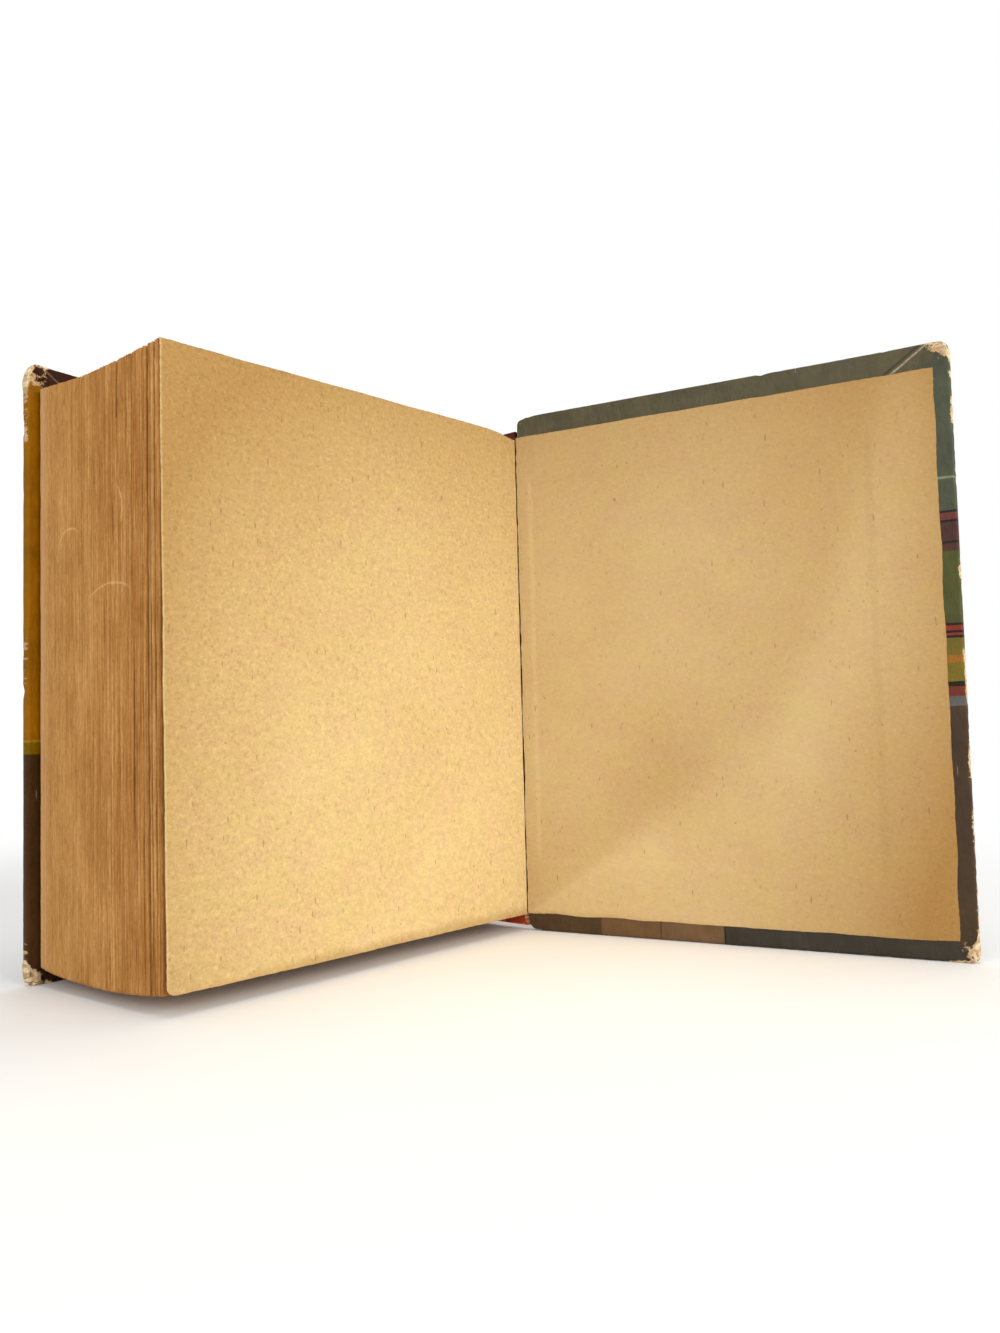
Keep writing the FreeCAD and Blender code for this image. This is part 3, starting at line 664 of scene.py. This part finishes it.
def makeSlab(side, seed):
    rimSteps = 9
    places, quads = boxSkin((130, 150, rimSteps))
    out, up = denseEnds(130)[places[:, 0]], denseEnds(150)[places[:, 1]]
    swing = (places[:, 2] / (rimSteps - 1) - 0.5) * np.pi
    half = (slab["outer"] - slab["inner"]) / 2
    level = np.sign(np.sin(swing)) * np.abs(np.sin(swing)) ** 0.6
    inset = slab["rim"] * (1 - np.abs(np.cos(swing)) ** 0.6)
    sizes = np.array([slab["reach"][side] - slab["start"], book["height"]]) / 2
    centre = np.array([slab["start"], 0]) + sizes
    flat = np.stack([out * 2 - 1, up * 2 - 1], 1) * sizes
    hingeEnd = np.where(flat[:, 1] > 0, slab["hingeCorner"], slab["corner"])
    foreEnd = np.where(flat[:, 1] > 0, slab["headCorner"], slab["tailCorner"])
    corner = np.where(flat[:, 0] < 0, hingeEnd, foreEnd)[:, None]
    beyond = np.maximum(np.abs(flat) - (sizes - corner), 0) / corner
    inCorner = np.minimum(np.abs(flat), sizes - corner)
    pulled = np.stack([beyond[:, 0] * np.sqrt(1 - beyond[:, 1] ** 2 / 2),
                       beyond[:, 1] * np.sqrt(1 - beyond[:, 0] ** 2 / 2)], 1)
    plan = np.sign(flat) * (inCorner + corner * pulled)
    plan = plan * (1 - inset[:, None] / sizes)
    toRim = np.min(sizes - np.abs(plan), axis=1)
    onRim = (out == 0) | (out == 1) | (up == 0) | (up == 1)
    rimNear = onRim * np.abs(np.cos(swing))
    field = np.concatenate([plan, level[:, None]], 1)
    outerEnd = smooth(-20, 20, plan[:, 0])
    cornerFar = np.hypot(sizes[0] - plan[:, 0], sizes[1] - np.abs(plan[:, 1]))
    crumple = 1 - smooth(0.5, slab["crumpleReach"], cornerFar + 1.5 * ripple(field, 5, seed + 6))

    # patches of the rim have lost their paper, and chips are missing from the board there
    patches = ripple(field, 16, seed)
    chips = np.maximum(ripple(field, 2.4, seed + 1) - 0.25, 0)
    chips = chips + 0.5 * np.maximum(ripple(field, 0.9, seed + 5), 0)
    share = slab["wearShare"][side]
    bite = slab["bite"] * (0.25 + smooth(0, 0.6, patches)) * chips * (0.3 + 0.7 * outerEnd)
    bite = bite * smooth(1.6, 0, toRim) * share
    fold = ripple(field, 5, seed + 2)
    swell = slab["flare"] * crumple * smooth(6, 0, toRim) * (0.8 + 0.35 * ripple(field, 3.5, seed + 7))
    plan = plan * (1 + (swell - bite)[:, None] / sizes)
    inside = toRim - book["turnIn"]
    inside = np.where(plan[:, 0] < 0, np.minimum(sizes[1] - np.abs(plan[:, 1]) - book["turnIn"], 5.0), inside)
    depth = (slab["inner"] + slab["outer"]) / 2 + half * level
    depth = depth + 0.25 * smooth(-0.6, 0.2, inside) * (level < -0.99)
    rough = np.abs(fold) - 0.25 + 0.4 * ripple(field, 1.7, seed + 8)
    depth = depth + crumple * slab["crumple"] * rough
    depth = depth + 0.03 * ripple(field, 14, seed + 3) * smooth(5, 2, toRim)
    sheet = plan + centre
    headEnd = smooth(sizes[1] - 8, sizes[1], plan[:, 1])
    sheet[:, 1] += slab["headSwell"][side] * np.exp(-cornerFar / 9) * headEnd
    sheet[:, 1] -= headDrop(sheet[:, 0]) * smooth(book["height"] - 8, book["height"] - 1, sheet[:, 1])
    closeness = smooth(1.2, 0, toRim)
    rubbed = smooth(0.15, 0.7, patches) + 0.5 * smooth(0.1, 0.5, ripple(field, 3.5, seed + 9))
    wear = 0.12 + (0.5 * rimNear * rubbed + 0.2 * closeness * rubbed) * (0.4 + 0.6 * outerEnd) * share
    wear = wear + 0.6 * crumple * (0.9 + 0.45 * ripple(field, 3, seed + 4))
    wear = wear + 0.6 * rimNear * outerEnd * np.exp(-np.maximum(cornerFar - 2, 0) / 6) * (plan[:, 0] > 0)
    crease = crumple * np.exp(-(ripple(field, 2.8, seed + 10) / 0.22) ** 2)
    points = coverPoints(side, sheet[:, 0], depth, sheet[:, 1])
    layers = {"wear": wear, "outside": (level + 1) / 2, "crease": crease}
    piece = makePiece(side + "_cover_slab", points, quads, coverPapers[side], layers, sheet)
    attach(piece, side + "_cover")
    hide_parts(side + "_board", side + "_cover_paper")


makeSlab("back", 71)
makeSlab("front", 91)

# Turned-in paper that runs on past the board to the gutter, with rounded ends at tail and head
jointFold = {"from": 0.55, "to": 3.1, "near": 0.2, "far": 0.36, "corner": 1.6, "inset": 0.35}


def makeJointFold(side, seed):
    places, quads = boxSkin((24, 130, 2))
    out, up = places[:, 0] / 23, denseEnds(130, 0.95)[places[:, 1]]
    along = jointFold["from"] + out * (jointFold["to"] - jointFold["from"])
    far = np.clip(1 - (along - jointFold["from"]) / jointFold["corner"], 0, 1)
    lift = jointFold["inset"] + jointFold["corner"] * (1 - np.sqrt(1 - far ** 2)) * 0.9
    top = book["height"] - 0.12 - headDrop(along) - 0.8 * far ** 8
    rise = lift + up * (top - lift)
    sheet = np.stack([along, rise], 1)
    depth = np.where(places[:, 2] == 0, jointFold["near"], jointFold["far"]) + 0.04 * ripple(sheet, 2.5, seed)
    depth = depth + 0.08 * smooth(8, 20, np.minimum(rise, book["height"] - rise))
    wear = 0.12 + 0.2 * (out == 0) + 0.2 * ripple(sheet, 3, seed + 1)
    layers = {"wear": wear, "outside": 0 * wear, "crease": 0 * wear}
    piece = makePiece(side + "_joint_fold", coverPoints(side, along, depth, rise), quads, coverPapers[side],
                      layers, sheet)
    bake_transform(piece)


makeJointFold("back", 111)
makeJointFold("front", 121)
print("covers made")

# Spine paper and its card: a flat leaning panel with soft edges
spine = {
    "from": 0.5, "to": 1.72, "over": -0.6, "tail": 0.9, "head": 111.4,
    # paintedTailLight is painted light at the tail
    "dark": "#551b08", "light": "#86300f", "paintedTailLight": "#b8431a", "dim": "#3c1307",
}


def makeSpinePaper():
    material, tree, surface = startMaterial("spine paper", 0.45, 0.25)
    place = addNode(tree, "ShaderNodeUVMap", uv_map="sheet")
    dull = noiseAt(tree, place, 6, 5, 0.65)
    tint = addRamp(tree, dull, [(0.3, spine["dark"]), (0.7, spine["light"])])
    # painted light: lighter and more orange towards the tail; darker towards the head
    rise = addNode(tree, "ShaderNodeSeparateXYZ", {0: place}, 1)
    tint = mixColour(tree, ramped(tree, rise, 4.0, 14.0, 0.9, 0.0), tint, toLinear(spine["paintedTailLight"]))
    tint = mixColour(tree, ramped(tree, rise, 98.0, 108.0, 0.0, 0.7), tint, toLinear(spine["dim"]))
    wear = addNode(tree, "ShaderNodeAttribute", output=2, attribute_name="wear")
    crumbs = noiseAt(tree, place, 0.8, 4, 0.7)
    worn = addMath(tree, "ADD", wear, addMath(tree, "MULTIPLY", addMath(tree, "SUBTRACT", crumbs, 0.5), 1.3))
    worn = ramped(tree, worn, 0.5, 0.62)
    tint = mixColour(tree, worn, tint, toLinear(coverLook["fibre"]))
    tree.links.new(tint, surface.inputs["Base Color"])
    bump = addNode(tree, "ShaderNodeBump", {"Strength": 0.5, "Distance": 0.0003, "Height": dull})
    tree.links.new(bump, surface.inputs["Normal"])
    return material


spinePaper = makeSpinePaper()


def makeSpine():
    steps = 7
    places, quads = boxSkin((60, 110, steps))
    across, up = denseEnds(60, 0.7)[places[:, 0]], denseEnds(110, 0.7)[places[:, 1]]
    swing = (places[:, 2] / (steps - 1) - 0.5) * np.pi
    inset = 0.45 * (1 - np.abs(np.cos(swing)) ** 0.6)
    low, high = -spine["over"], book["blockThick"] + spine["over"]
    sizes = np.array([high - low, spine["head"] - spine["tail"]]) / 2
    flat = np.stack([across * 2 - 1, up * 2 - 1], 1) * (sizes - inset[:, None])
    sheet = flat + [(low + high) / 2, (spine["head"] + spine["tail"]) / 2]
    level = np.sign(np.sin(swing)) * np.abs(np.sin(swing)) ** 0.6
    field = np.stack([sheet[:, 0], sheet[:, 1], level], 1)
    offset = (spine["from"] + spine["to"]) / 2 + level * (spine["to"] - spine["from"]) / 2
    offset = offset + 0.04 * ripple(field, 12, 131) * (level > 0)
    closeness = 1 - smooth(0, 1.5, np.min(sizes - np.abs(flat), axis=1))
    wear = 0.5 * closeness + 0.3 * ripple(field, 8, 132) * closeness
    points = np.stack([offset - book["lean"] * sheet[:, 0] / book["blockThick"], sheet[:, 0], sheet[:, 1]], 1)
    piece = makePiece("spine_panel", points, quads, spinePaper, {"wear": wear}, sheet)
    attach(piece, "block")
    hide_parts("spine_paper", "spine_strip")


makeSpine()


def sweepStrip(path, thick, low, high, rows, grain, seed):
    # A strip of even thickness along a plan path, upright from low to high; grain moves it sideways
    path = np.array(path, float)
    steps = np.linalg.norm(np.diff(path, axis=0), axis=1)
    far = np.concatenate([[0], np.cumsum(steps)])
    even = np.linspace(0, far[-1], 24)
    curve = np.stack([np.interp(even, far, path[:, 0]), np.interp(even, far, path[:, 1])], 1)
    for turn in range(4):
        curve[1:-1] = (curve[:-2] + 2 * curve[1:-1] + curve[2:]) / 4
    lead = np.gradient(curve, axis=0)
    lead /= np.linalg.norm(lead, axis=1)[:, None]
    side = np.stack([-lead[:, 1], lead[:, 0]], 1)
    places, quads = boxSkin((24, 2, rows))
    step, layer, up = places[:, 0], places[:, 1], places[:, 2] / (rows - 1)
    rise = low + up * (high - low)
    field = np.stack([even[step], rise], 1)
    shift = (layer - 0.5) * thick + grain * ripple(field, 5, seed)
    spot = curve[step] + side[step] * shift[:, None]
    return np.stack([spot[:, 0], spot[:, 1], rise], 1), quads, field


def spineSpot(offset, along):
    return np.array([offset - book["lean"] * along / book["blockThick"], along])


# Joint strips: tucked in at the spine, sunk in a groove, and landing on the cover at along, depth
joint = {"thick": 0.2, "groove": 0.7, "tuck": 0.9, "land": (3.2, 2.5), "finish": (4.4, 2.58)}


def makeJoint(side, seed):
    edge = -spine["over"] if side == "back" else book["blockThick"] + spine["over"]
    inner = joint["tuck"] if side == "back" else -joint["tuck"]
    start = spineSpot(spine["to"], edge + inner)
    bend = spineSpot(spine["to"], edge)
    spots = (joint["land"], joint["finish"])
    land, finish = (coverPoints(side, np.array(a), np.array(d), 0)[:2] for a, d in spots)
    hinge = np.array(coverSides[side]["hinge"])
    middle = (bend + land) / 2
    dip = middle + (hinge - middle) / np.linalg.norm(hinge - middle) * joint["groove"]
    path = [start, bend, dip, land, finish]
    points, quads, field = sweepStrip(path, joint["thick"], spine["tail"], spine["head"], 90, 0.03, seed)
    wear = 0.1 + 0.25 * ripple(field, 6, seed + 1)
    piece = makePiece(side + "_joint_strip", points, quads, spinePaper, {"wear": wear}, field)
    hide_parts(side + "_joint")
    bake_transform(piece)


makeJoint("back", 141)
makeJoint("front", 151)

# Linings: gauze in the gutters and on the leaves' backs
lining = {"thick": 0.12, "spineThick": 0.4, "low": 3.9, "high": 109.9, "dark": "#251304", "light": "#4f2d0d"}


def makeLiningMaterial():
    material, tree, surface = startMaterial("glued gauze lining", 0.85, 0.2)
    place = addNode(tree, "ShaderNodeUVMap", uv_map="sheet")
    weave = noiseAt(tree, stretched(tree, place, (1, 0.3, 1)), 0.5, 3, 0.6)
    tint = addRamp(tree, weave, [(0.3, lining["dark"]), (0.7, lining["light"])])
    tree.links.new(tint, surface.inputs["Base Color"])
    bump = addNode(tree, "ShaderNodeBump", {"Strength": 0.5, "Distance": 0.0002, "Height": weave})
    tree.links.new(bump, surface.inputs["Normal"])
    return material


gauzeLining = makeLiningMaterial()


def makeGutter(side, seed):
    if side == "back":
        start, bend = np.array([-1.6, 0.5]), np.array([0.1, 0.42])
    else:
        start, bend = np.array([-3.8, 38.78]), np.array([-2.25, 38.9])
    land, finish = (coverPoints(side, np.array(a), np.array(0.4), 0)[:2] for a in (1.0, 2.4))
    path = [start, bend, land, finish]
    points, quads, field = sweepStrip(path, lining["thick"], lining["low"], lining["high"], 90, 0.02, seed)
    piece = makePiece(side + "_gutter_strip", points, quads, gauzeLining, None, field)
    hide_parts(side + "_hinge_lining")
    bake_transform(piece)


makeGutter("back", 161)
makeGutter("front", 171)


def makeSpineLining():
    # gauze glued on the leaves' backs, a little short of both hinges
    path = [spineSpot(0.26, along) for along in (0.55, 13.0, 26.0, book["blockThick"] - 0.55)]
    points, quads, field = sweepStrip(path, lining["spineThick"], lining["low"], lining["high"], 90, 0.0, 181)
    piece = makePiece("spine_lining_strip", points, quads, gauzeLining, None, field)
    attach(piece, "block")
    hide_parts("spine_lining")


makeSpineLining()
print("spine and joints made")

# Floor: pale, and plain white for the camera away from the book, as the background is
studio = {
    "floor": "#f4f4f2", "fadeFrom": 0.12, "fadeTo": 0.3, "key": 6.0, "fill": 4.2, "top": 6.0, "ambient": 0.5,
}


def makeFloor():
    material, tree, surface = startMaterial("studio sheet", 0.8, 0.2)
    surface.inputs["Base Color"].default_value = toLinear(studio["floor"])
    place = addNode(tree, "ShaderNodeTexCoord", output=3)
    far = addNode(tree, "ShaderNodeVectorMath", {0: place}, 1, operation="LENGTH")
    share = ramped(tree, far, studio["fadeFrom"], studio["fadeTo"])
    share = addMath(tree, "MULTIPLY", share, addNode(tree, "ShaderNodeLightPath"))
    white = addNode(tree, "ShaderNodeEmission", {0: (1, 1, 1, 1), 1: 1.0})
    mixed = addNode(tree, "ShaderNodeMixShader", {0: share, 1: surface.outputs[0], 2: white})
    tree.links.new(mixed, tree.nodes["Material Output"].inputs[0])
    places = [(x, y, 0) for y in (-5, 5) for x in (-5, 5)]
    mesh = bpy.data.meshes.new("studio_sheet")
    mesh.from_pydata(places, [], [(0, 1, 3, 2)])
    mesh.materials.append(material)
    mesh.update()
    floor = bpy.data.objects.new("studio_sheet", mesh)
    bpy.context.scene.collection.objects.link(floor)


makeFloor()


def placedAt(axes, spot):
    # The matrix of something at a spot, from its own X, Y and Z axes
    rows = [[*row, place] for row, place in zip(np.stack(axes, 1), spot)]
    return Matrix(rows + [[0, 0, 0, 1]])


def makeLight(name, spot, target, size, power, colour):
    data = bpy.data.lights.new(name, "AREA")
    data.shape = "DISK"
    data.size = size
    data.energy = power
    data.color = toLinear(colour)[:3]
    light = bpy.data.objects.new(name, data)
    bpy.context.scene.collection.objects.link(light)
    aim = np.array(target) - np.array(spot)
    back = -aim / np.linalg.norm(aim)
    right = np.cross((0, 0, 1), back)
    right /= np.linalg.norm(right)
    over = np.cross(back, right)
    light.matrix_world = placedAt([right, over, back], spot)


makeLight("key", (0.1, -0.9, 0.3), (0.0, -0.05, 0.05), 0.7, studio["key"], "#fffaf0")
makeLight("fill", (-0.9, -0.35, 0.4), (0.0, -0.05, 0.05), 0.9, studio["fill"], "#fafbff")
makeLight("top", (0.1, 0.0, 1.3), (0.0, -0.05, 0.05), 1.0, studio["top"], "#ffffff")

world = bpy.data.worlds.new("studio")
bpy.context.scene.world = world
world.use_nodes = True
sky = world.node_tree.nodes["Background"]
seen = addNode(world.node_tree, "ShaderNodeLightPath")
sky.inputs[0].default_value = (1, 1, 1, 1)
world.node_tree.links.new(addMath(world.node_tree, "MAXIMUM", seen, studio["ambient"]), sky.inputs[1])
bpy.context.scene.view_settings.view_transform = "Standard"

# Camera: place and direction worked out from the photo
camera = {"spot": (-0.12177, -0.19350, 0.04507), "yaw": 46.95, "pitch": 3.26, "roll": -1.49, "lens": 27.82}


def makeCamera():
    yaw, pitch, roll = (math.radians(camera[key]) for key in ("yaw", "pitch", "roll"))
    ahead = np.array([math.sin(yaw) * math.cos(pitch), math.cos(yaw) * math.cos(pitch), math.sin(pitch)])
    level = np.array([math.cos(yaw), -math.sin(yaw), 0])
    upright = np.cross(level, ahead)
    right = level * math.cos(roll) + upright * math.sin(roll)
    over = -level * math.sin(roll) + upright * math.cos(roll)
    data = bpy.data.cameras.new("photo camera")
    data.sensor_width = 36
    data.lens = camera["lens"]
    data.clip_start = 0.005
    eye = bpy.data.objects.new("photo camera", data)
    bpy.context.scene.collection.objects.link(eye)
    eye.matrix_world = placedAt([right, over, -ahead], camera["spot"])
    bpy.context.scene.camera = eye


makeCamera()
print("studio made")
